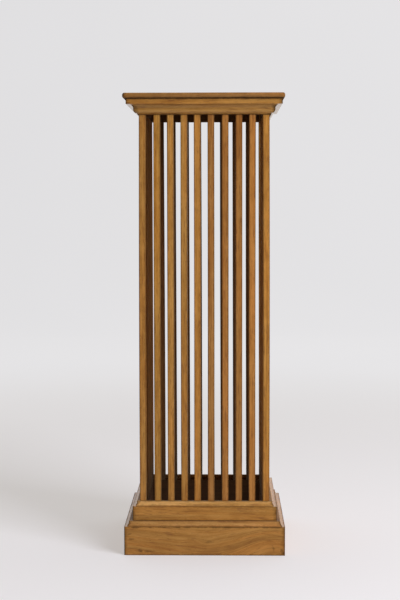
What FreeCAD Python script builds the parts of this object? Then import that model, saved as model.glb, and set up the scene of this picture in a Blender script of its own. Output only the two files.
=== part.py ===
import FreeCAD, Part
import math
import os

# Display plinth: a tall square pedestal in solid wood, open between its slats.
# Units are millimetres. +Z is up, the front faces -Y, and the origin is on the
# floor under the middle of the plinth.
#
# Every one of the four sides is made the same way:
#   a lower and an upper rail, tenoned between two corner posts, carry the slats;
#   the surbase board hides the lower rail and stands on the floor inside the
#   plinth board; a cap moulding covers the top of the plinth board and a foot
#   moulding covers the top of the surbase board; the crown moulding hides the
#   upper rail; the top board lies on all of them.
# A distance called "half" is measured from the vertical axis to a face.

# Driving dimensions
total_height = 1000.0
top_width = 348.0
top_thickness = 11.6
top_edge_radius = 4.5
top_corner_radius = 6.0

crown_height = 33.0
crown_width = 335.0
crown_fillet_height = 12.1
crown_ovolo_width = 305.0
crown_ovolo_radius = 7.5
crown_cove_radius = 9.0
crown_bead_width = 289.0
crown_bead_height = 2.6

column_width = 282.5
stick = 14.5
slats_per_side = 8
slat_pitch = 29.4
stick_edge_radius = 0.8

plinth_width = 350.0
plinth_height = 63.0
plinth_corner_radius = 2.5
surbase_width = 315.0
surbase_height = 104.0
surbase_corner_radius = 1.5
cap_width = 337.5
cap_height = 10.5
cap_cove_depth = 3.6
cap_cove_radius = 10.0
foot_width = 302.0
foot_height = 9.8
foot_cove_depth = 2.8
foot_cove_radius = 9.0
moulding_lip = 0.8

lower_rail_depth = 70.0
post_floor_gap = 3.0
slat_tenon_width = 8.0
slat_tenon_length = 10.0
rail_tenon_thickness = 5.0
rail_tenon_length = 4.5
rail_tenon_shoulder = 7.0

screw_length = 25.0
screw_radius = 2.0
screw_head_radius = 4.0
screw_head_height = 2.5
screw_tip_height = 4.0
screw_slot = 1.0
lower_screw_height = 46.0
counterbore_radius = 4.5
counterbore_depth = 15.0

arris_radius = 0.8

# Sizes worked out from the driving dimensions
column_half = column_width / 2
inner_half = column_half - stick
stick_centre = column_half - stick / 2
surbase_half = surbase_width / 2
plinth_half = plinth_width / 2
top_underside = total_height - top_thickness
crown_bottom = top_underside - crown_height
screw_offset = 2 * slat_pitch

tolerance = 0.001
sides = ("front", "right", "back", "left")
up = FreeCAD.Vector(0, 0, 1)
origin = FreeCAD.Vector(0, 0, 0)


def turned(shape, quarter):
    """Return a copy of a front piece turned to another side of the plinth."""
    copy = shape.copy()
    copy.rotate(origin, up, 90 * quarter)
    return copy


def box(x_low, x_high, y_low, y_high, z_low, z_high):
    corner = FreeCAD.Vector(x_low, y_low, z_low)
    return Part.makeBox(x_high - x_low, y_high - y_low, z_high - z_low, corner)


def rounded_wire(corners):
    """Closed wire through corners given as (point, radius), with tangent arcs."""
    edges = []
    ends = []
    count = len(corners)
    for index, (point, radius) in enumerate(corners):
        before = (corners[index - 1][0] - point).normalize()
        after = (corners[(index + 1) % count][0] - point).normalize()
        if radius == 0:
            ends.append((point, point))
            continue
        half_angle = before.getAngle(after) / 2
        reach = radius / math.tan(half_angle)
        start = point + before * reach
        finish = point + after * reach
        bisector = (before + after).normalize()
        middle = point + bisector * (radius / math.sin(half_angle) - radius)
        edges.append(Part.Arc(start, middle, finish).toShape())
        ends.append((start, finish))
    for index in range(count):
        start = ends[index][1]
        finish = ends[(index + 1) % count][0]
        if start.distanceToPoint(finish) > tolerance:
            edges.append(Part.LineSegment(start, finish).toShape())
    return Part.Wire(Part.sortEdges(edges)[0])


def mitred_piece(profile):
    """Front piece with a section given as (half, z, radius), mitred at both ends."""
    reach = max(half for half, height, radius in profile)
    low = min(height for half, height, radius in profile)
    high = max(height for half, height, radius in profile)
    corners = [(FreeCAD.Vector(-reach, -half, height), radius) for half, height, radius in profile]
    section = Part.Face(rounded_wire(corners))
    length = section.extrude(FreeCAD.Vector(2 * reach, 0, 0))
    edge = reach + 1
    plan = [(0, 0), (-edge, -edge), (edge, -edge), (0, 0)]
    outline = Part.makePolygon([FreeCAD.Vector(x, y, low - 1) for x, y in plan])
    wedge = Part.Face(outline).extrude(up * (high - low + 2))
    return length.common(wedge)


def rounded_column(half, low, high, radius):
    """Square column about the vertical axis with rounded upright edges."""
    plan = [(-half, -half), (half, -half), (half, half), (-half, half)]
    corners = [(FreeCAD.Vector(x, y, low), radius) for x, y in plan]
    return Part.Face(rounded_wire(corners)).extrude(up * (high - low))


def slat_places():
    middle = (slats_per_side - 1) / 2
    return [(index - middle) * slat_pitch for index in range(slats_per_side)]


def screw_body():
    """Countersunk wood screw standing on its head, which is at the origin."""
    shank_length = screw_length - screw_head_height - screw_tip_height
    head = Part.makeCone(screw_head_radius, screw_radius, screw_head_height)
    shank = Part.makeCylinder(screw_radius, shank_length, up * screw_head_height)
    tip_start = up * (screw_length - screw_tip_height)
    tip = Part.makeCone(screw_radius, 0, screw_tip_height, tip_start)
    return head.fuse(shank).fuse(tip).removeSplitter()


def slotted_screw():
    wide = screw_head_radius + 1
    slot = box(-wide, wide, -screw_slot / 2, screw_slot / 2, -1, screw_slot)
    return screw_body().cut(slot)


def rail_screws(screw):
    """Two front screws up through the upper rail and two out through the lower."""
    placed = []
    for x in (-screw_offset, screw_offset):
        upright = screw.copy()
        upright.translate(FreeCAD.Vector(x, -stick_centre, crown_bottom + counterbore_depth))
        level = screw.copy()
        level.rotate(origin, FreeCAD.Vector(1, 0, 0), 90)
        level.translate(FreeCAD.Vector(x, -inner_half, lower_screw_height))
        placed += [upright, level]
    return placed


def without(shape, tools):
    for tool in tools:
        shape = shape.cut(tool)
    return shape


def top_board():
    half = top_width / 2
    board = rounded_column(half, top_underside, total_height, top_corner_radius)
    rims = [edge for edge in board.Edges if edge.BoundBox.ZLength < tolerance]
    board = board.makeFillet(top_edge_radius, rims)
    for quarter in range(4):
        board = without(board, [turned(screw, quarter) for screw in rail_screws(screw_body())])
    return board


def crown_moulding():
    fillet_bottom = top_underside - crown_fillet_height
    bead_half = crown_bead_width / 2
    bead_top = crown_bottom + crown_bead_height
    ovolo_half = crown_ovolo_width / 2
    crown_half = crown_width / 2
    return mitred_piece([
        (column_half, crown_bottom, 0),
        (bead_half, crown_bottom, arris_radius),
        (bead_half, bead_top, 0),
        (ovolo_half, bead_top, crown_ovolo_radius),
        (ovolo_half, fillet_bottom, crown_cove_radius),
        (crown_half, fillet_bottom, arris_radius),
        (crown_half, top_underside, arris_radius),
        (column_half, top_underside, 0),
    ])


def rail_tenons(low, high):
    """Both stub tenons that join a rail to its corner posts."""
    y_low = -stick_centre - rail_tenon_thickness / 2
    y_high = -stick_centre + rail_tenon_thickness / 2
    z_low = low + rail_tenon_shoulder
    z_high = high - rail_tenon_shoulder
    tip = inner_half + rail_tenon_length
    left = box(-tip, -inner_half, y_low, y_high, z_low, z_high)
    right = box(inner_half, tip, y_low, y_high, z_low, z_high)
    return left, right


def rail(low, high, mortise_low):
    body = box(-inner_half, inner_half, -column_half, -inner_half, low, high)
    for tenon in rail_tenons(low, high):
        body = body.fuse(tenon)
    half = slat_tenon_width / 2
    y_low = -stick_centre - half
    y_high = -stick_centre + half
    for x in slat_places():
        mortise_high = mortise_low + slat_tenon_length
        body = body.cut(box(x - half, x + half, y_low, y_high, mortise_low, mortise_high))
    return without(body, rail_screws(screw_body()))


def lower_rail():
    return rail(surbase_height - lower_rail_depth, surbase_height, surbase_height - slat_tenon_length)


def upper_rail():
    body = rail(crown_bottom, top_underside, crown_bottom)
    for x in (-screw_offset, screw_offset):
        place = FreeCAD.Vector(x, -stick_centre, crown_bottom)
        body = body.cut(Part.makeCylinder(counterbore_radius, counterbore_depth, place))
    return body


def square_stick(x, y, low, high):
    half = stick / 2
    plan = [(-half, -half), (half, -half), (half, half), (-half, half)]
    corners = [(FreeCAD.Vector(x + a, y + b, low), stick_edge_radius) for a, b in plan]
    return Part.Face(rounded_wire(corners)).extrude(up * (high - low))


def slat(x):
    """Front slat between the shoulders of its two stub tenons."""
    body = square_stick(x, -stick_centre, surbase_height, crown_bottom)
    half = slat_tenon_width / 2
    low = surbase_height - slat_tenon_length
    high = crown_bottom + slat_tenon_length
    tenon = box(x - half, x + half, -stick_centre - half, -stick_centre + half, low, high)
    return body.fuse(tenon).removeSplitter()


def corner_post():
    """Front left post, from just above the floor to the top board."""
    post = square_stick(-stick_centre, -stick_centre, post_floor_gap, top_underside)
    rails = ((surbase_height - lower_rail_depth, surbase_height), (crown_bottom, top_underside))
    for low, high in rails:
        front_tenon = rail_tenons(low, high)[0]
        side_tenon = turned(rail_tenons(low, high)[1], 3)
        post = without(post, (front_tenon, side_tenon))
    return post


def surbase_board():
    board = mitred_piece([
        (column_half, 0, 0),
        (surbase_half, 0, 0),
        (surbase_half, surbase_height, arris_radius),
        (column_half, surbase_height, 0),
    ])
    board = board.common(rounded_column(surbase_half, 0, surbase_height, surbase_corner_radius))
    return without(board, rail_screws(screw_body()))


def plinth_board():
    board = mitred_piece([
        (surbase_half, 0, 0),
        (plinth_half, 0, arris_radius),
        (plinth_half, plinth_height, arris_radius),
        (surbase_half, plinth_height, 0),
    ])
    return board.common(rounded_column(plinth_half, 0, plinth_height, plinth_corner_radius))


def coved_moulding(back_half, low, height, width, depth, radius):
    """Small moulding with a hollow face that runs out to a lip at its lower edge."""
    toe_half = width / 2
    neck_half = toe_half - depth
    high = low + height
    return mitred_piece([
        (back_half, low, 0),
        (toe_half, low, 0),
        (toe_half, low + moulding_lip, 0),
        (neck_half, low + height / 2, radius),
        (neck_half, high, arris_radius),
        (back_half, high, 0),
    ])


def cap_moulding():
    return coved_moulding(
        surbase_half, plinth_height, cap_height, cap_width, cap_cove_depth, cap_cove_radius
    )


def foot_moulding():
    return coved_moulding(
        column_half, surbase_height, foot_height, foot_width, foot_cove_depth, foot_cove_radius
    )


def save(name, shape):
    for solid in shape.Solids:
        if not solid.isValid() or solid.Volume <= 0:
            raise ValueError(name + " is not a valid solid")
    shape.exportStep("parts/" + name + ".step")


def save_on_each_side(name, shape):
    for quarter, side in enumerate(sides):
        save(name + "_" + side, turned(shape, quarter))


def save_as_group(name, shapes):
    copies = [turned(shape, quarter) for quarter in range(4) for shape in shapes]
    save(name, Part.makeCompound(copies))


os.makedirs("parts", exist_ok=True)
save("top_board", top_board())
save_on_each_side("crown_moulding", crown_moulding())
save_on_each_side("upper_rail", upper_rail())
save_on_each_side("lower_rail", lower_rail())
save_on_each_side("surbase_board", surbase_board())
save_on_each_side("plinth_board", plinth_board())
for number, place in enumerate(slat_places(), start=1):
    for quarter, side in enumerate(sides):
        save("slat_" + side + "_" + str(number), turned(slat(place), quarter))
for quarter, corner in enumerate(("front_left", "front_right", "back_right", "back_left")):
    save("corner_post_" + corner, turned(corner_post(), quarter))
save_as_group("cap_mouldings", [cap_moulding()])
save_as_group("foot_mouldings", [foot_moulding()])
save_as_group("wood_screws", rail_screws(slotted_screw()))
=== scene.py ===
import math
import random

import bmesh
import bpy
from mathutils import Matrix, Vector


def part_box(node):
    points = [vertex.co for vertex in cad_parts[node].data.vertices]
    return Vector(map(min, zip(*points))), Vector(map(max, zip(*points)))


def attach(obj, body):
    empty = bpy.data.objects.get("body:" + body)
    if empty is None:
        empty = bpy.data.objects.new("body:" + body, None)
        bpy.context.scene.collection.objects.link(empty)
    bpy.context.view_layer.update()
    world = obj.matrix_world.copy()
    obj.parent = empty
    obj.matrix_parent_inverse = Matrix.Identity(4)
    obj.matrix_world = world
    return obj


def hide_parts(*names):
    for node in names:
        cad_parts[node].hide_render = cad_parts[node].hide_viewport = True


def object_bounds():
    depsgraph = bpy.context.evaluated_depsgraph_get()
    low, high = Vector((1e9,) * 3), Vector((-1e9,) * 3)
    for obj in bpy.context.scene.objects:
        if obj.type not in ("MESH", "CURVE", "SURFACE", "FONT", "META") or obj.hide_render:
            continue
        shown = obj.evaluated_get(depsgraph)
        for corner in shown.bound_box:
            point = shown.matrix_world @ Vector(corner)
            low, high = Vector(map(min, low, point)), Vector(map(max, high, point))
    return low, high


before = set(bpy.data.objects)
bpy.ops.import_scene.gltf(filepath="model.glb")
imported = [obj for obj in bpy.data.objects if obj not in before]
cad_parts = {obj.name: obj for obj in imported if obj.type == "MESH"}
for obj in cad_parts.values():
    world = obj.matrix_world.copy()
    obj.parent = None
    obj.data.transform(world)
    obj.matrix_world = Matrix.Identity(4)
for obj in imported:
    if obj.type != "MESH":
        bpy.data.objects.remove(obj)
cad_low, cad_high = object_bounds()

# A slatted display plinth in golden-brown wood under a satin varnish. The crown
# mouldings, rails, surbase and plinth boards, small mouldings and screws keep their CAD
# shapes. The slats, the posts and the top board are remade worn, each near its CAD
# place. Every wooden node gets its own cut of wood with the grain along it.

MM = 0.001
FULL_TURN = 2 * math.pi
QUARTER_TURN = math.pi / 2

SIDES = ("front", "right", "back", "left")
CORNERS = ("front_left", "front_right", "back_right", "back_left")
SLATS_PER_SIDE = 8


# ---------------------------------------------------------------- node helpers

class Graph:
    """Adds nodes to one node tree. An input may be a socket or a plain value."""

    def __init__(self, tree):
        self.tree = tree

    def put(self, socket, value):
        if isinstance(value, bpy.types.NodeSocket):
            self.tree.links.new(value, socket)
        else:
            socket.default_value = value

    def node(self, kind, inputs=None, **settings):
        made = self.tree.nodes.new(kind)
        for name, value in settings.items():
            setattr(made, name, value)
        for name, value in (inputs or {}).items():
            self.put(made.inputs[name], value)
        return made

    def math(self, operation, *values, clamp=False):
        made = self.node("ShaderNodeMath", operation=operation, use_clamp=clamp)
        for index, value in enumerate(values):
            self.put(made.inputs[index], value)
        return made.outputs[0]

    def plus(self, first, second, clamp=False):
        return self.math("ADD", first, second, clamp=clamp)

    def minus(self, first, second, clamp=False):
        return self.math("SUBTRACT", first, second, clamp=clamp)

    def times(self, first, second):
        return self.math("MULTIPLY", first, second)

    def larger(self, first, second):
        return self.math("MAXIMUM", first, second)

    def smaller(self, first, second):
        return self.math("MINIMUM", first, second)

    def absolute(self, value):
        return self.math("ABSOLUTE", value)

    def vector(self, operation, *values):
        made = self.node("ShaderNodeVectorMath", operation=operation)
        for index, value in enumerate(values):
            self.put(made.inputs[index], value)
        return made.outputs["Vector"]

    def length(self, vector):
        made = self.node("ShaderNodeVectorMath", operation="LENGTH")
        self.put(made.inputs[0], vector)
        return made.outputs["Value"]

    def split(self, vector):
        made = self.node("ShaderNodeSeparateXYZ", {"Vector": vector})
        return made.outputs[0], made.outputs[1], made.outputs[2]

    def join(self, x, y, z):
        return self.node("ShaderNodeCombineXYZ", {"X": x, "Y": y, "Z": z}).outputs[0]

    def noise(self, vector, cells, detail=2.0, roughness=0.5):
        """Noise from 0 to 1. cells are per metre, along X and across it."""
        along, across = cells
        scaled = self.vector("MULTIPLY", vector, (along, across, across))
        inputs = {"Vector": scaled, "Scale": 1.0, "Detail": detail, "Roughness": roughness}
        return self.node("ShaderNodeTexNoise", inputs).outputs[0]

    def ramp(self, factor, stops, interpolation="EASE"):
        made = self.node("ShaderNodeValToRGB", {"Fac": factor})
        made.color_ramp.interpolation = interpolation
        elements = made.color_ramp.elements
        while len(elements) < len(stops):
            elements.new(0.5)
        for element, (place, colour) in zip(elements, stops):
            element.position = place
            element.color = (*colour, 1.0)
        return made.outputs[0]

    def step(self, value, low, high, first=0.0, last=1.0):
        """Smooth step from first to last as value goes from low to high."""
        inputs = {"Value": value, "From Min": low, "From Max": high, "To Min": first, "To Max": last}
        return self.node("ShaderNodeMapRange", inputs, interpolation_type="SMOOTHSTEP").outputs[0]

    def blend(self, factor, first, second, mode="MIX"):
        """Mixes two colours. The Mix node's colour sockets come after its float and
        vector ones of the same names, so they go by number."""
        made = self.node("ShaderNodeMix", data_type="RGBA", blend_type=mode)
        self.put(made.inputs[0], factor)
        self.put(made.inputs[6], first)
        self.put(made.inputs[7], second)
        return made.outputs[2]

    def fade(self, distance, reach):
        """1 at no distance, falling to 0 at the reach."""
        return self.minus(1.0, self.math("DIVIDE", distance, reach), clamp=True)

    def surface(self, inputs):
        """Makes a Principled shader with these inputs the material's surface."""
        shader = self.node("ShaderNodeBsdfPrincipled", inputs)
        output = self.node("ShaderNodeOutputMaterial")
        self.tree.links.new(shader.outputs[0], output.inputs["Surface"])


def grey(value):
    return (value, value, value)


def new_material(name):
    """An empty material and the graph of its nodes."""
    material = bpy.data.materials.new(name)
    material.use_nodes = True
    material.node_tree.nodes.clear()
    return material, Graph(material.node_tree)


def dress(node, material):
    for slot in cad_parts[node].material_slots:
        slot.material = material


# ---------------------------------------------------------------- the figure of the wood

# Linear colours of the wood from its palest earlywood to its darkest line.
WOOD_COLOURS = (
    (0.00, (0.610, 0.298, 0.068)),
    (0.38, (0.483, 0.220, 0.041)),
    (0.72, (0.350, 0.143, 0.024)),
    (1.00, (0.185, 0.064, 0.010)),
)
FLECK_COLOUR = (0.190, 0.058, 0.018, 1.0)
PORE_COLOUR = (0.050, 0.020, 0.007, 1.0)
# One colour for the dirt on the arrises, the dark mitre lines and blemishes, and the painted shade at
# the joints and beside the mitres.
DIRT_AND_SHADE_COLOUR = (0.048, 0.023, 0.009, 1.0)
# Painted shade inside the plinth, on the inner faces.
INNER_SHADE_COLOUR = (0.086, 0.066, 0.046, 1.0)
RED_CAST = (1.04, 0.93, 0.80, 1.0)
FLECK_STRENGTH = 0.45
PORE_STRENGTH = 0.62

# Cells per metre of each noise, along the grain and across it.
BEND_CELLS = (2.4, 11.0)
RIPPLE_CELLS = (11.0, 60.0)
GROWTH_CELLS = (1.0, 40.0)
CLOUD_CELLS = (3.0, 16.0)
STREAK_CELLS = (6.5, 210.0)
FIBRE_CELLS = (28.0, 900.0)
PORE_CELLS = (115.0, 1350.0)
PORE_CROWD_CELLS = (16.0, 260.0)
FLECK_CELLS = (34.0, 330.0)
BLOTCH_CELLS = (22.0, 75.0)
RED_CELLS = (2.6, 70.0)

# How strong the ripple is beside the bend of the rings.
RIPPLE_SHARE = 0.16
# The shade across one ring, from its earlywood to its dark latewood line.
RING_BAND = ((0.00, 0.25), (0.10, 0.0), (0.52, 0.22), (0.88, 1.0), (1.00, 0.25))
FAINTEST_RING = 0.25
# The satin varnish's roughness, from streak to streak, and what pores and the dirt and painted shade
# add to it.
SATIN = (0.42, 0.52)
PORE_ROUGHNESS = 0.25
DIRT_AND_SHADE_ROUGHNESS = 0.45


def wood_group():
    """The figure of the wood, with its dirt and painted shade, for a vector in metres whose X runs
    along the grain.

    The growth rings are cylinders about an axis beside the piece, bent by noise.
    Streaks, fibres and pores are noise drawn out along the grain.
    """
    tree = bpy.data.node_groups.new("wood_figure", "ShaderNodeTree")
    for name, kind, direction in (
        ("Grain", "NodeSocketVector", "INPUT"),
        ("Rings", "NodeSocketFloat", "INPUT"),
        ("Figure", "NodeSocketFloat", "INPUT"),
        ("Contrast", "NodeSocketFloat", "INPUT"),
        ("Tint", "NodeSocketColor", "INPUT"),
        ("Dirt and shade", "NodeSocketFloat", "INPUT"),
        ("Color", "NodeSocketColor", "OUTPUT"),
        ("Roughness", "NodeSocketFloat", "OUTPUT"),
        ("Height", "NodeSocketFloat", "OUTPUT"),
    ):
        tree.interface.new_socket(name, in_out=direction, socket_type=kind)
    g = Graph(tree)
    given = g.node("NodeGroupInput").outputs
    grain = given["Grain"]

    # growth rings
    _, y, z = g.split(grain)
    bend = g.minus(g.noise(grain, BEND_CELLS, 1.0), 0.5)
    ripple = g.minus(g.noise(grain, RIPPLE_CELLS), 0.5)
    y = g.plus(y, g.times(bend, given["Figure"]))
    z = g.plus(z, g.times(ripple, g.times(given["Figure"], RIPPLE_SHARE)))
    radius = g.math("SQRT", g.plus(g.times(y, y), g.times(z, z)))
    growth = g.plus(g.times(radius, given["Rings"]), g.noise(grain, GROWTH_CELLS, 1.0))
    phase = g.math("FRACT", growth)
    band = g.ramp(phase, [(place, grey(shade)) for place, shade in RING_BAND])
    ring_number = {"W": g.math("FLOOR", growth)}
    ring_strength = g.node("ShaderNodeTexWhiteNoise", ring_number, noise_dimensions="1D").outputs[0]
    band = g.times(band, g.step(ring_strength, 0.0, 1.0, FAINTEST_RING, 1.0))

    # streaks, fibres, flecks, blotches and pores
    cloud = g.noise(grain, CLOUD_CELLS)
    streak = g.noise(grain, STREAK_CELLS, 3.0, 0.55)
    fibre = g.noise(grain, FIBRE_CELLS, 3.0, 0.6)
    fleck = g.step(g.noise(grain, FLECK_CELLS, 2.0, 0.6), 0.57, 0.70)
    blotch = g.noise(grain, BLOTCH_CELLS, 3.0, 0.65)
    along, across = PORE_CELLS
    pore_cells = {"Vector": g.vector("MULTIPLY", grain, (along, across, across)), "Scale": 1.0}
    pore = g.node("ShaderNodeTexVoronoi", pore_cells).outputs["Distance"]
    pore = g.step(pore, 0.16, 0.36, 1.0, 0.0)
    # the pores crowd in the earlywood
    early = g.step(phase, 0.05, 0.55, 1.0, 0.22)
    crowd = g.step(g.noise(grain, PORE_CROWD_CELLS, 1.0), 0.36, 0.62)
    pore = g.times(pore, g.times(early, crowd))

    shade = g.times(band, given["Contrast"])
    for noise, low, high, pale, dark in (
        (streak, 0.28, 0.74, -0.02, 0.36),
        (fibre, 0.25, 0.75, -0.14, 0.18),
        (cloud, 0.25, 0.75, -0.14, 0.18),
        (blotch, 0.28, 0.72, -0.14, 0.20),
    ):
        shade = g.plus(shade, g.step(noise, low, high, pale, dark))
    colour = g.ramp(shade, WOOD_COLOURS, "LINEAR")
    redness = g.step(g.noise(grain, RED_CELLS, 2.0, 0.6), 0.36, 0.66)
    colour = g.blend(redness, colour, g.blend(1.0, colour, RED_CAST, "MULTIPLY"))
    colour = g.blend(g.times(fleck, FLECK_STRENGTH), colour, FLECK_COLOUR)
    colour = g.blend(g.times(pore, PORE_STRENGTH), colour, PORE_COLOUR)
    colour = g.blend(1.0, colour, given["Tint"], "MULTIPLY")
    # the dirt and the painted shade darken the wood
    colour = g.blend(given["Dirt and shade"], colour, DIRT_AND_SHADE_COLOUR)

    roughness = g.step(streak, 0.3, 0.7, *SATIN)
    roughness = g.plus(roughness, g.times(pore, PORE_ROUGHNESS))
    roughness = g.plus(roughness, g.times(given["Dirt and shade"], DIRT_AND_SHADE_ROUGHNESS), clamp=True)
    # fibres stand up, latewood lines and pores lie lower
    height = g.times(fibre, 0.30)
    height = g.minus(height, g.times(band, 0.22))
    height = g.minus(height, pore)

    g.node("NodeGroupOutput", {"Color": colour, "Roughness": roughness, "Height": height})
    return tree


WOOD = wood_group()


# ---------------------------------------------------------------- wood for one piece

RAGGED_CELLS = (95.0, 95.0)
GRIME_REACH = 4.2 * MM
# How far the axis of the growth rings lies from the origin, across the grain.
PITH_REACH = (0.06, 0.16)
# How far apart along the grain the pieces are cut.
CUT_RANGE = (2.0, 60.0)
# In a mitre: a dark line along the joint itself, and painted shade in the edge beside it and in the
# wider band.
MITRE_LINE = (0.4 * MM, 1.2 * MM)
MITRE_LINE_DIRT = 0.75
MITRE_EDGE = (3.0 * MM, 7.0 * MM)
MITRE_BAND = (4.0 * MM, 14.0 * MM)
# The dirt and the painted shade take the varnish off a little faster than they cover the wood.
DULLING = 1.25
# x nx + y ny tells how far outwards a face looks: it is below the first of these on an
# inner face, and above the second on an outer one.
INNER_FACE = (-0.10, -0.02)
# Painted shade on the sticks' inner faces deepens towards the foot, between these heights.
FOOT_SHADE_HEIGHTS = (0.10, 0.24)
FOOT_SHADE = 0.85
BARE_ROUGHNESS = 0.45
WOOD_IOR = 1.45
COAT_ROUGHNESS = 0.18
BUMP_STRENGTH = 0.35
BUMP_DEPTH = 0.3 * MM


def grain_vector(g, place, along):
    """The place turned so that X runs along the grain of the piece."""
    x, y, z = g.split(place)
    if along == "X":
        return place
    if along == "Y":
        return g.join(y, x, z)
    if along == "Z":
        return g.join(z, x, y)
    # "ROUND": each side's grain runs along that side
    at_side = g.math("GREATER_THAN", g.absolute(x), g.absolute(y))
    return g.blend(at_side, g.join(x, y, z), g.join(y, x, z))


def swirl(g, place, grain, knots):
    """Pushes the grain sideways round each knot: (centre, size, push), in metres."""
    x, y, z = g.split(grain)
    for centre, size, push in knots:
        distance = g.length(g.vector("DIVIDE", g.vector("SUBTRACT", place, centre), size))
        hill = g.math("EXPONENT", g.times(g.times(distance, distance), -1.0))
        z = g.plus(z, g.times(hill, push))
    return g.join(x, y, z)


def box_arris(g, place, node):
    """The distance to the nearest arris of the node's box: the middle one of the
    distances to its three nearest faces."""
    low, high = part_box(node)
    middle = (low + high) / 2
    half = (high - low) / 2
    from_middle = g.vector("ABSOLUTE", g.vector("SUBTRACT", place, tuple(middle)))
    a, b, c = g.split(g.vector("SUBTRACT", tuple(half), from_middle))
    return g.larger(g.smaller(a, b), g.smaller(g.larger(a, b), c))


def wood_material(name, along, seed, tint, arris, inner_shade=0.5, varnish=1.0, specular=0.25,
                  rings=360.0, figure=0.012, contrast=0.26, pith=None, knots=(),
                  wear=0.55, mitre_band_shade=0.0, mitre_edge_shade=0.95, shade_lines=(), marks=()):
    """A wood material for one piece, cut from its own place in the tree.

    along: the axis of the grain, or "ROUND".
    arris: the CAD node whose box gives the arrises, or "inset" for the attribute of
        that name on a stick.
    inner_shade: how much painted shade darkens the inner faces.
    varnish: how much of it is on the outer faces.
    rings, figure, contrast: rings per metre, how far they bend in metres, how dark
        their lines are.
    pith: how far the axis of the rings lies from the origin, across the grain. It is
        drawn if not given.
    knots: (centre, size, push) of swirls.
    wear: dirt on the arrises. mitre_band_shade, mitre_edge_shade: painted shade beside the
    mitres, in the wide band and in the edge.
    shade_lines: (height, width, strength) of lines of painted shade at the joints.
    marks: (centre, size, strength) of dark blemishes.
    """
    draw = random.Random(seed)
    material, g = new_material("wood_" + name)
    place = g.node("ShaderNodeTexCoord").outputs["Object"]
    x, y, z = g.split(place)
    turn = draw.uniform(0.0, FULL_TURN)
    reach = draw.uniform(*PITH_REACH)
    drawn_pith = (reach * math.cos(turn), reach * math.sin(turn))
    cut = (draw.uniform(*CUT_RANGE), *(pith or drawn_pith))
    grain = swirl(g, place, grain_vector(g, place, along), knots)
    grain = g.vector("ADD", grain, cut)

    # dirt on the arrises, dark mitre lines and blemishes, and painted shade beside the mitres and along
    # the joints
    ragged = g.noise(place, RAGGED_CELLS, 3.0, 0.6)

    def near(distance, least, most, spread=0.2):
        """1 at no distance, falling to 0 at a ragged reach between least and most."""
        return g.fade(distance, g.step(ragged, 0.5 - spread, 0.5 + spread, least, most))

    def add_dark(dirt_and_shade, where, strength):
        return g.larger(dirt_and_shade, g.times(where, strength))

    if arris == "inset":
        distance = g.node("ShaderNodeAttribute", attribute_name="inset").outputs["Fac"]
    else:
        distance = box_arris(g, place, arris)
    dirt_and_shade = g.times(near(distance, 0.3 * GRIME_REACH, GRIME_REACH), wear)
    normal_x, normal_y, normal_z = g.split(g.node("ShaderNodeNewGeometry").outputs["Normal"])
    if mitre_band_shade > 0.0:
        corner = g.absolute(g.minus(g.absolute(x), g.absolute(y)))
        upright = g.step(g.absolute(normal_z), 0.80, 0.98, 1.0, 0.0)
        dirt_and_shade = add_dark(dirt_and_shade, near(corner, *MITRE_LINE), MITRE_LINE_DIRT)
        # painted shade on the upright faces beside the mitre
        dirt_and_shade = add_dark(dirt_and_shade, g.times(near(corner, *MITRE_BAND, spread=0.25), upright), mitre_band_shade)
        dirt_and_shade = add_dark(dirt_and_shade, g.times(near(corner, *MITRE_EDGE, spread=0.25), upright), mitre_edge_shade)
    # painted shade along the joints, under the overhangs and at the floor
    for height, width, strength in shade_lines:
        away = g.absolute(g.minus(z, height))
        dirt_and_shade = add_dark(dirt_and_shade, near(away, 0.7 * width, 1.4 * width), strength)
    for middle, size, strength in marks:
        away = g.length(g.vector("DIVIDE", g.vector("SUBTRACT", place, middle), size))
        dirt_and_shade = add_dark(dirt_and_shade, near(away, 0.4, 1.6), strength)
    undarkened = g.minus(1.0, g.times(dirt_and_shade, DULLING), clamp=True)

    # the inner faces were never varnished, and painted shade darkens them
    outwards = g.plus(g.times(x, normal_x), g.times(y, normal_y))
    if arris == "inset":
        inner_shade = g.step(z, *FOOT_SHADE_HEIGHTS, FOOT_SHADE, inner_shade)
    # painted shade on the inner faces
    inner_shade_mask = g.step(outwards, *INNER_FACE, inner_shade, 0.0)
    if varnish > 0.0:
        coat = g.times(undarkened, g.step(outwards, *INNER_FACE, 0.0, varnish))
        bare = g.step(outwards, *INNER_FACE, BARE_ROUGHNESS, BARE_ROUGHNESS * (1.0 - varnish))
    else:
        coat = 0.0
        bare = BARE_ROUGHNESS

    wood = g.node("ShaderNodeGroup", node_tree=WOOD)
    for socket, value in (
        ("Grain", grain), ("Rings", rings), ("Figure", figure), ("Contrast", contrast),
        ("Tint", (*tint, 1.0)), ("Dirt and shade", dirt_and_shade),
    ):
        g.put(wood.inputs[socket], value)
    bump = g.node("ShaderNodeBump", {
        "Strength": BUMP_STRENGTH, "Distance": BUMP_DEPTH, "Height": wood.outputs["Height"],
    })
    g.surface({
        "Base Color": g.blend(inner_shade_mask, wood.outputs["Color"], INNER_SHADE_COLOUR),
        "Roughness": g.plus(wood.outputs["Roughness"], bare, clamp=True),
        "Normal": bump.outputs[0],
        "IOR": WOOD_IOR,
        "Specular IOR Level": specular,
        "Coat Weight": coat,
        "Coat Roughness": COAT_ROUGHNESS,
        "Coat IOR": WOOD_IOR,
    })
    return material


# ---------------------------------------------------------------- remade pieces

ARC_STEPS = 4


def corner_signs(corner):
    """Which way a square's corner lies from its middle, anticlockwise from +X +Y."""
    return (1 if corner in (0, 3) else -1), (1 if corner in (0, 1) else -1)


def corner_turns(corner):
    """The directions from the centre of that corner's rounding to the points on it."""
    return [QUARTER_TURN * (corner + step / ARC_STEPS) for step in range(ARC_STEPS + 1)]


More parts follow.
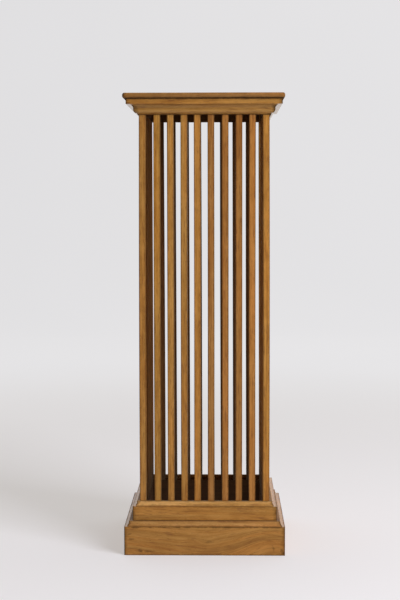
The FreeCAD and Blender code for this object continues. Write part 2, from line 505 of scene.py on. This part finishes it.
def loft(bm, rings):
    """Walls between neighbouring rings of vertices, and a flat face at each end."""
    for lower, upper in zip(rings, rings[1:]):
        for index in range(len(lower)):
            after = (index + 1) % len(lower)
            bm.faces.new((lower[index], lower[after], upper[after], upper[index]))
    bm.faces.new(list(reversed(rings[0])))
    bm.faces.new(rings[-1])


def stand_in(node, bm):
    """Puts the mesh in the scene as the worn piece that stands for the CAD node."""
    mesh = bpy.data.meshes.new("worn_" + node)
    bm.to_mesh(mesh)
    bm.free()
    mesh.shade_smooth()
    made = bpy.data.objects.new("worn_" + node, mesh)
    bpy.context.scene.collection.objects.link(made)
    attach(made, "root")
    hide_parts(node)
    return made


# ---------------------------------------------------------------- slats and posts

TENON_LENGTH = 10.0 * MM
TENON_HALF = 4.0 * MM
ARRIS_RADIUS = 0.9 * MM
ARRIS_WEAR = 0.4
ARRIS_BAND = 3.6 * MM
RING_SPACING = 20.0 * MM
BOW = 0.4 * MM
SHARP_ANGLE = math.radians(40)
# The wear of an arris wanders in so many waves of so many turns a metre.
WEAR_WAVES = 3
WEAR_RATES = (1.0, 9.0)

# How far each slat stands from its even place, in mm, from left to right as seen
# from the front. The back ones also lean.
FRONT_SET = (0.2, -0.1, -0.1, -0.9, -0.7, 0.7, 1.1, 0.7)
BACK_SET = (-2.0, -3.4, -1.5, -1.9, -1.9, -2.2, -2.2, -0.2)
BACK_LEAN = -2.0
SIDE_SET = 0.7
# The posts' shift, lean and belly, in mm.
POST_SET = {
    "front_left": (-0.8, 0.9, -0.9),
    "front_right": (0.3, -1.3, 1.0),
    "back_right": (-0.3, -3.0, 0.0),
    "back_left": (0.2, -0.5, 0.0),
}
# How much painted shade darkens the inner faces on each side.
INNER_SHADE_BY_SIDE = {"front": 0.6, "right": 0.0, "back": 0.6, "left": 0.15}

# Colour factors of the front sticks, from the left post to the right post.
FRONT_TINTS = (
    (0.99, 1.02, 1.10), (0.96, 0.98, 0.88), (1.06, 1.10, 1.16), (0.95, 0.96, 0.96), (0.99, 0.93, 0.82),
    (0.84, 0.83, 1.02), (0.87, 0.80, 0.84), (0.82, 0.76, 0.78), (0.99, 0.92, 0.98), (1.14, 1.13, 1.06),
)
# The other sticks' tone, and how far it and its warmth vary.
MIDDLE_TONE = 0.97
TONE_SPREAD = 0.08
WARMTH_SPREAD = 0.06


def square_ring(half, radii):
    """A square section with rounded corners: (x, y, distance from the arris) points.
    Each side has two more points, one a band in from each corner."""
    points = []
    for corner in range(4):
        radius = radii[corner]
        sign_x, sign_y = corner_signs(corner)
        centre_x = sign_x * (half - radius)
        centre_y = sign_y * (half - radius)
        for turn in corner_turns(corner):
            points.append((centre_x + radius * math.cos(turn), centre_y + radius * math.sin(turn), 0.0))
        out = QUARTER_TURN * (corner + 1)
        side = Vector((math.cos(out), math.sin(out))) * half
        along = Vector((-math.sin(out), math.cos(out))) * (half - ARRIS_BAND)
        points.append((*(side - along), ARRIS_BAND))
        points.append((*(side + along), ARRIS_BAND))
    return points


class Wander:
    """A smooth seeded wobble of at most one each way along a stick."""

    def __init__(self, draw):
        self.waves = [
            (draw.uniform(*WEAR_RATES), draw.uniform(0.0, FULL_TURN)) for _ in range(WEAR_WAVES)
        ]

    def at(self, height):
        total = sum(math.sin(rate * FULL_TURN * height + start) for rate, start in self.waves)
        return total / WEAR_WAVES


def stick(node, seed, shift=0.0, lean=0.0, belly=0.0, tenon=TENON_LENGTH):
    """A slat or post as the joiner left it: set a little off its place, leaning, bowed and
    worn. shift, lean and belly are in metres along its side: at the foot, from foot to
    top, and at mid-height. The tenons stay in their mortises."""
    draw = random.Random(seed)
    low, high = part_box(node)
    middle = (low + high) / 2
    half = (high[0] - low[0]) / 2
    foot, top = low[2] + tenon, high[2] - tenon
    along_x = "front" in node or "back" in node
    bow_x, bow_y = draw.uniform(-BOW, BOW), draw.uniform(-BOW, BOW)
    wears = [Wander(draw) for _ in range(4)]

    def section(height):
        rise = (height - foot) / (top - foot)
        curve = math.sin(math.pi * rise)
        set_off = shift + lean * rise + belly * curve
        x = middle[0] + bow_x * curve + (set_off if along_x else 0.0)
        y = middle[1] + bow_y * curve + (0.0 if along_x else set_off)
        return x, y, height, half

    def tenon_section(height):
        return middle[0], middle[1], height, TENON_HALF

    count = round((top - foot) / RING_SPACING)
    sections = [section(foot + (top - foot) * step / count) for step in range(count + 1)]
    if tenon:
        sections = [tenon_section(low[2]), tenon_section(foot)] + sections
        sections += [tenon_section(top), tenon_section(high[2])]
    bm = bmesh.new()
    inset = bm.verts.layers.float.new("inset")
    rings = []
    for x, y, height, width in sections:
        radii = [ARRIS_RADIUS * (1 + ARRIS_WEAR * wear.at(height)) for wear in wears]
        ring = []
        for across, deep, distance in square_ring(width, radii):
            vertex = bm.verts.new((x + across, y + deep, height))
            vertex[inset] = distance
            ring.append(vertex)
        rings.append(ring)
    loft(bm, rings)
    made = stand_in(node, bm)
    made.data.set_sharp_from_angle(angle=SHARP_ANGLE)
    return made


def drawn_tint(seed):
    """A colour factor near the middle tone, a little warmer or cooler."""
    draw = random.Random(seed)
    tone = MIDDLE_TONE + draw.uniform(-TONE_SPREAD, TONE_SPREAD)
    warmth = draw.uniform(-WARMTH_SPREAD, WARMTH_SPREAD)
    return (tone * (1 + 0.3 * warmth), tone * (1 - warmth), tone * (1 - 2 * warmth))


def left_to_right(side):
    """The side's slats in order of X, or of Y on the right and left."""
    nodes = [f"slat_{side}_{number}" for number in range(1, SLATS_PER_SIDE + 1)]
    axis = 0 if side in ("front", "back") else 1
    return sorted(nodes, key=lambda node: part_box(node)[0][axis])


# Every wooden node takes the next seed, in the order in which they are dressed.
seeds = iter(range(100, 300))

for side in SIDES:
    for place, node in enumerate(left_to_right(side)):
        seed = next(seeds)
        tint = drawn_tint(seed)
        if side == "front":
            made = stick(node, seed, FRONT_SET[place] * MM)
            tint = FRONT_TINTS[place + 1]
        elif side == "back":
            made = stick(node, seed, BACK_SET[place] * MM, BACK_LEAN * MM)
        else:
            made = stick(node, seed, random.Random(seed).uniform(-SIDE_SET, SIDE_SET) * MM)
        made.data.materials.append(wood_material(node, "Z", seed, tint, "inset", inner_shade=INNER_SHADE_BY_SIDE[side]))

post_tints = {"front_left": FRONT_TINTS[0], "front_right": FRONT_TINTS[-1]}
for corner in CORNERS:
    node = "corner_post_" + corner
    seed = next(seeds)
    tint = post_tints.get(corner) or drawn_tint(seed)
    shift, lean, belly = POST_SET[corner]
    made = stick(node, seed, shift * MM, lean * MM, belly * MM, tenon=0.0)
    _, side = corner.split("_")
    made.data.materials.append(wood_material(node, "Z", seed, tint, "inset", inner_shade=INNER_SHADE_BY_SIDE[side]))


# ---------------------------------------------------------------- the top board

TOP_SHIFT = -1.1 * MM
RIM_RADIUS = 4.5 * MM
RIM_STEPS = 5
RIM_LAND = 1.5 * MM
SLAB_CORNER = 6.0 * MM
LEAST_CORNER = 0.5 * MM
SIDE_STEPS = 40
DENT = 0.15 * MM
# The dents round the rim are so many waves of so many turns each.
DENT_WAVES = 5
DENT_RATES = (5, 60)


def slab_outline(half, radius):
    """Points round a square with rounded corners."""
    reach = half - radius
    arcs = []
    for corner in range(4):
        centre = reach * Vector(corner_signs(corner))
        spokes = [Vector((math.cos(turn), math.sin(turn))) for turn in corner_turns(corner)]
        arcs.append([centre + radius * spoke for spoke in spokes])
    points = []
    for index, arc in enumerate(arcs):
        begin, end = arc[-1], arcs[(index + 1) % 4][0]
        points += arc
        points += [begin.lerp(end, step / SIDE_STEPS) for step in range(1, SIDE_STEPS)]
    return points


def rim_profile(low, high):
    """(inset, height) from the flat of the underside round the rim to the flat on top."""
    turns = [QUARTER_TURN * step / RIM_STEPS for step in range(RIM_STEPS + 1)]
    lower = [
        (RIM_RADIUS * (1 - math.sin(turn)), low + RIM_RADIUS * (1 - math.cos(turn))) for turn in turns
    ]
    upper = [(inset, low + high - height) for inset, height in reversed(lower)]
    flat = RIM_RADIUS + RIM_LAND
    return [(flat, low)] + lower + upper + [(flat, high)]


def worn_slab(node, seed):
    """The top board: a rounded rim with shallow dents, set a little to the left."""
    draw = random.Random(seed)
    low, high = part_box(node)
    half = (high[0] - low[0]) / 2
    waves = [(draw.randint(*DENT_RATES), draw.uniform(0.0, FULL_TURN)) for _ in range(DENT_WAVES)]
    bm = bmesh.new()
    rings = []
    for inset, height in rim_profile(low[2], high[2]):
        outline = slab_outline(half - inset, max(SLAB_CORNER - inset, LEAST_CORNER))
        ring = []
        for index, point in enumerate(outline):
            around = FULL_TURN * index / len(outline)
            wave = sum(math.sin(rate * around + start) for rate, start in waves) / DENT_WAVES
            x, y = point * (1 - DENT * (1 + wave) / half)
            ring.append(bm.verts.new((x + TOP_SHIFT, y, height)))
        rings.append(ring)
    loft(bm, rings)
    made = stand_in(node, bm)
    return made


# ---------------------------------------------------------------- boards and mouldings

def top_of(node):
    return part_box(node)[1][2]


def foot_of(node):
    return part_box(node)[0][2]


# Colour factors: each piece's tone. The rails' are dark for painted shade inside the plinth, and the
# small mouldings' are light for a painted highlight.
TONES_AND_PAINTED_LIGHT = {
    "top_board": (0.71, 0.72, 0.92),
    "crown_moulding": (0.96, 1.02, 1.08),
    "upper_rail": (0.42, 0.38, 0.34),
    "lower_rail": (0.20, 0.14, 0.09),
    "surbase_board": (1.02, 1.06, 1.10),
    "plinth_board": (0.94, 0.93, 0.94),
    "cap_mouldings": (1.14, 1.26, 1.85),
    "foot_mouldings": (1.32, 1.49, 2.05),
}
# Painted shade under the top board's overhang, at the crown's foot, in the corners by the cap moulding
# and along the floor: (height, width, strength).
crown_top = top_of("crown_moulding_front")
TOP_SHADE_LINES = ((crown_top, 2.6 * MM, 1.0), (crown_top, 9.0 * MM, 0.40))
CROWN_SHADE_LINES = (
    (crown_top, 3.4 * MM, 1.0),
    (crown_top, 14.0 * MM, 0.18),
    (foot_of("crown_moulding_front"), 2.0 * MM, 0.95),
)
SURBASE_SHADE_LINES = ((top_of("cap_mouldings"), 1.6 * MM, 0.75),)
PLINTH_SHADE_LINES = ((foot_of("plinth_board_front"), 3.5 * MM, 0.8),)
# The axis of these boards' growth rings lies below them and towards the inside.
SURBASE_PITH = (0.02, 0.12)
PLINTH_PITH = (0.02, 0.10)

# Where the figure swirls on the front of the plinth, in mm from its middle and the
# floor: place across and up, reach across, deep and up, and how far the grain is pushed.
PLINTH_KNOTS = (
    (150, 0, 75, 50, 70, -48),
    (-30, 32, 18, 30, 12, -4.5),
    (12, 30, 22, 30, 12, 4.5),
    (-190, 0, 110, 50, 80, -24),
)
# Dark blemishes on the same face, in mm: place across and up, size across, deep and up,
# and strength.
PLINTH_MARKS = (
    (-155, 61, 10, 10, 3.0, 0.80),
    (-163, 47, 8, 10, 2.4, 0.60),
    (-159, 36, 9, 10, 2.2, 0.55),
    (-139, 9, 8, 10, 4.4, 0.85),
    (-122, 9, 12, 10, 3.4, 0.60),
    (10, 30, 12, 10, 2.8, 0.50),
    (150, 16, 4, 10, 7.0, 0.55),
    (172, 6, 10, 20, 14.0, 0.90),
)

# The other boards' blemishes: sizes in mm, and strengths.
MARKS_A_BOARD = 3
MARK_WIDTHS = (6.0, 12.0)
MARK_HEIGHTS = (2.0, 3.5)
MARK_STRENGTHS = (0.4, 0.7)


def front_spot(across, up, *size):
    """A place on the front face of the plinth and a size, both given in mm."""
    front_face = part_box("plinth_board_front")[0][1]
    return (across * MM, front_face, up * MM), tuple(part * MM for part in size)


def board_marks(node, seed):
    """A few small dark blemishes on the outer face of a board or moulding."""
    draw = random.Random(seed)
    low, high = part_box(node)
    middle = (low + high) / 2
    spread = (high - low) / 2
    thin = 0 if spread[0] < spread[1] else 1
    marks = []
    for _ in range(MARKS_A_BOARD):
        centre = [middle[axis] + draw.uniform(-0.9, 0.9) * spread[axis] for axis in range(3)]
        centre[thin] = low[thin] if middle[thin] < 0 else high[thin]
        across = draw.uniform(*MARK_WIDTHS) * MM
        up = draw.uniform(*MARK_HEIGHTS) * MM
        marks.append((tuple(centre), (across, across, up), draw.uniform(*MARK_STRENGTHS)))
    return marks


seed = next(seeds)
top_board = worn_slab("top_board", seed)
top_board.data.materials.append(wood_material(
    "top_board", "X", seed, TONES_AND_PAINTED_LIGHT["top_board"], "top_board", varnish=0.4, figure=0.02,
    wear=0.5, mitre_band_shade=0.5, mitre_edge_shade=0.45, shade_lines=TOP_SHADE_LINES))

for side in SIDES:
    along = "X" if side in ("front", "back") else "Y"
    node = "crown_moulding_" + side
    seed = next(seeds)
    dress(node, wood_material(
        node, along, seed, TONES_AND_PAINTED_LIGHT["crown_moulding"], node, mitre_band_shade=0.9,
        shade_lines=CROWN_SHADE_LINES, marks=board_marks(node, seed)))
    # the rails' dark tints are painted shade inside the plinth
    for rail in ("upper_rail", "lower_rail"):
        node = f"{rail}_{side}"
        dress(node, wood_material(
            node, along, next(seeds), TONES_AND_PAINTED_LIGHT[rail], node, varnish=0.0, specular=0.05))
    node = "surbase_board_" + side
    seed = next(seeds)
    dress(node, wood_material(
        node, along, seed, TONES_AND_PAINTED_LIGHT["surbase_board"], node, figure=0.006, pith=SURBASE_PITH,
        mitre_band_shade=0.6, shade_lines=SURBASE_SHADE_LINES, marks=board_marks(node, seed)))
    node = "plinth_board_" + side
    seed = next(seeds)
    knots, marks = (), board_marks(node, seed)
    if side == "front":
        knots = [(*front_spot(*spot), push * MM) for *spot, push in PLINTH_KNOTS]
        marks = [(*front_spot(*spot), strength) for *spot, strength in PLINTH_MARKS]
    dress(node, wood_material(
        node, along, seed, TONES_AND_PAINTED_LIGHT["plinth_board"], node, rings=300.0, figure=0.009, contrast=0.15,
        pith=PLINTH_PITH, knots=knots, wear=0.95, mitre_band_shade=0.6, shade_lines=PLINTH_SHADE_LINES, marks=marks))

# The small mouldings' light tints are a painted highlight, and their shade lines are painted shade in
# the corners above and below them.
for node in ("cap_mouldings", "foot_mouldings"):
    dress(node, wood_material(
        node, "ROUND", next(seeds), TONES_AND_PAINTED_LIGHT[node], node, mitre_band_shade=0.6,
        shade_lines=((foot_of(node), 1.0 * MM, 0.6), (top_of(node), 1.5 * MM, 0.62))))


# ---------------------------------------------------------------- the screws

MOTTLE_CELLS = (900.0, 900.0)
STEEL_COLOURS = ((0.3, (0.30, 0.28, 0.25)), (0.7, (0.46, 0.44, 0.41)))
STEEL_ROUGHNESS = (0.34, 0.52)


def steel_material():
    """Dull steel of the screws, faintly mottled."""
    material, g = new_material("dull_steel")
    mottle = g.noise(g.node("ShaderNodeTexCoord").outputs["Object"], MOTTLE_CELLS, 3.0)
    g.surface({
        "Base Color": g.ramp(mottle, STEEL_COLOURS),
        "Roughness": g.step(mottle, 0.3, 0.7, *STEEL_ROUGHNESS),
        "Metallic": 1.0,
    })
    return material


dress("wood_screws", steel_material())


# ---------------------------------------------------------------- the studio

FLOOR_RADIUS = 4.6
COVE_RADIUS = 1.8
WALL_HEIGHT = 5.2
SWEEP_SEGMENTS = 96
COVE_SEGMENTS = 16

# The key light comes from the right of the front, and from above.
KEY_TURN = math.radians(46.0)
KEY_RISE = math.radians(25.0)
KEY_DISTANCE = 4.5
KEY_SIZE = (2.5, 2.6)
KEY_POWER = 188.0
KEY_COLOUR = (1.0, 1.01, 1.12)
# It is polarised, as for photographing varnish: only the second part of it glints.
KEY_PARTS = (("key", 0.7, False), ("key_glint", 0.3, True))

# Near the plinth the paper takes its light from the lamps and so shows a shadow.
# Farther off it mostly glows by itself, which keeps the backdrop even.
NEAR, FAR = 0.8, 3.5
NEAR_GLOW, FAR_GLOW = 0.35, 0.75
NEAR_ALBEDO, FAR_ALBEDO = 0.59, 0.06
NEAR_GLOW_COLOUR = (1.0, 0.965, 0.940, 1.0)
PAPER_CELLS = (0.7, 0.7)
PAPER_COLOURS = ((0.3, (0.985, 0.975, 0.990)), (0.7, (0.995, 0.985, 1.0)))
# Towards the key light each metre past NEAR counts for this many more, which keeps the
# floor there even.
KEYWARD_FACTOR = 1.2
# The glow grows to the right by this share of itself in each metre.
GLOW_SLOPE = 0.012
# The plinth covers the glow under it, to this far in from its outer faces.
COVERED_EDGE = 15.0 * MM

# The air is dark in front of the plinth, paler near the floor there and bright behind
# the plinth.
AIR_COLOUR = (1.0, 0.965, 0.93, 1.0)
FRONT_SKY = 0.08
FRONT_FLOOR = 0.45
BACK_SKY = 0.80
# The Z and the Y of the direction between which the air changes.
FLOOR_TO_SKY = (-0.5, 0.0)
FRONT_TO_BACK = (-0.6, 0.7)


def studio():
    """A round pale floor that curves up into a wall on every side, so that no edge
    of it shows from any view."""
    profile = [(0.0, 0.0), (FLOOR_RADIUS / 2, 0.0)]
    for step in range(COVE_SEGMENTS + 1):
        turn = QUARTER_TURN * step / COVE_SEGMENTS
        across = FLOOR_RADIUS + COVE_RADIUS * math.sin(turn)
        profile.append((across, COVE_RADIUS * (1 - math.cos(turn))))
    profile.append((FLOOR_RADIUS + COVE_RADIUS, WALL_HEIGHT))
    vertices = [(0.0, 0.0, 0.0)]
    for across, height in profile[1:]:
        for step in range(SWEEP_SEGMENTS):
            turn = FULL_TURN * step / SWEEP_SEGMENTS
            vertices.append((across * math.cos(turn), across * math.sin(turn), height))
    faces = []
    for step in range(SWEEP_SEGMENTS):
        after = (step + 1) % SWEEP_SEGMENTS
        faces.append((0, 1 + step, 1 + after))
        for ring in range(len(profile) - 2):
            low = 1 + ring * SWEEP_SEGMENTS
            high = low + SWEEP_SEGMENTS
            faces.append((low + step, high + step, high + after, low + after))
    mesh = bpy.data.meshes.new("studio")
    mesh.from_pydata(vertices, [], faces)
    mesh.shade_smooth()
    made = bpy.data.objects.new("studio", mesh)
    bpy.context.scene.collection.objects.link(made)
    return made


def studio_material():
    """Softly glowing off-white paper, as a translucent sweep lit from behind."""
    material, g = new_material("studio_paper")
    place = g.node("ShaderNodeTexCoord").outputs["Object"]
    x, y, _ = g.split(place)
    paper = g.ramp(g.noise(place, PAPER_CELLS), PAPER_COLOURS)

    keyward = g.plus(g.times(x, math.sin(KEY_TURN)), g.times(y, -math.cos(KEY_TURN)))
    keyward = g.larger(g.minus(keyward, NEAR), 0.0)
    away = g.plus(g.length(place), g.times(keyward, KEYWARD_FACTOR))
    albedo = g.step(away, NEAR, FAR, NEAR_ALBEDO, FAR_ALBEDO)

    glow = g.step(away, NEAR, FAR, NEAR_GLOW, FAR_GLOW)
    glow = g.times(glow, g.plus(1.0, g.times(x, GLOW_SLOPE)))
    from_middle = g.larger(g.absolute(x), g.absolute(y))
    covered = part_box("plinth_board_right")[1][0] - COVERED_EDGE
    glow = g.times(glow, g.math("GREATER_THAN", from_middle, covered))
    g.surface({
        "Base Color": g.blend(1.0, paper, albedo, "MULTIPLY"),
        "Emission Color": g.blend(g.step(away, NEAR, FAR, 1.0, 0.0), paper, NEAR_GLOW_COLOUR),
        "Emission Strength": glow,
        "Roughness": 0.9,
        "Specular IOR Level": 0.1,
    })
    return material


def key_lamp(name, share, glints):
    """A soft box aimed at the middle of the plinth, with this share of the key's power."""
    data = bpy.data.lights.new(name, "AREA")
    data.shape = "RECTANGLE"
    data.size, data.size_y = KEY_SIZE
    data.energy = KEY_POWER * share
    data.color = KEY_COLOUR
    lamp = bpy.data.objects.new(name, data)
    level = math.cos(KEY_RISE)
    direction = Vector((math.sin(KEY_TURN) * level, -math.cos(KEY_TURN) * level, math.sin(KEY_RISE)))
    lamp.location = (cad_low + cad_high) / 2 + direction * KEY_DISTANCE
    lamp.rotation_euler = direction.to_track_quat("Z", "Y").to_euler()
    lamp.visible_camera = False
    lamp.visible_glossy = glints
    bpy.context.scene.collection.objects.link(lamp)


room = studio()
room.data.materials.append(studio_material())
room.visible_diffuse = False
room.visible_glossy = False

for name, share, glints in KEY_PARTS:
    key_lamp(name, share, glints)

world = bpy.data.worlds.new("studio_air")
bpy.context.scene.world = world
world.use_nodes = True
air = Graph(world.node_tree)
_, air_y, air_z = air.split(air.node("ShaderNodeTexCoord").outputs["Generated"])
background = world.node_tree.nodes["Background"]
background.inputs["Color"].default_value = AIR_COLOUR
front_air = air.step(air_z, *FLOOR_TO_SKY, FRONT_FLOOR, FRONT_SKY)
air.put(background.inputs["Strength"], air.step(air_y, *FRONT_TO_BACK, front_air, BACK_SKY))

bpy.context.scene.view_settings.view_transform = "Standard"


# ---------------------------------------------------------------- the camera

CAMERA_PLACE = Vector((0.0427, -3.0591, 0.7633))
CAMERA_TURN = 0.0179
CAMERA_DIP = 0.0712
CAMERA_ROLL = 0.0013
LENS = 80.8
SENSOR_WIDTH = 36.0

camera_data = bpy.data.cameras.new("camera")
camera_data.lens = LENS
camera_data.sensor_width = SENSOR_WIDTH
camera = bpy.data.objects.new("camera", camera_data)
camera.location = CAMERA_PLACE
camera.rotation_euler = (QUARTER_TURN - CAMERA_DIP, CAMERA_ROLL, CAMERA_TURN)
bpy.context.scene.collection.objects.link(camera)
bpy.context.scene.camera = camera
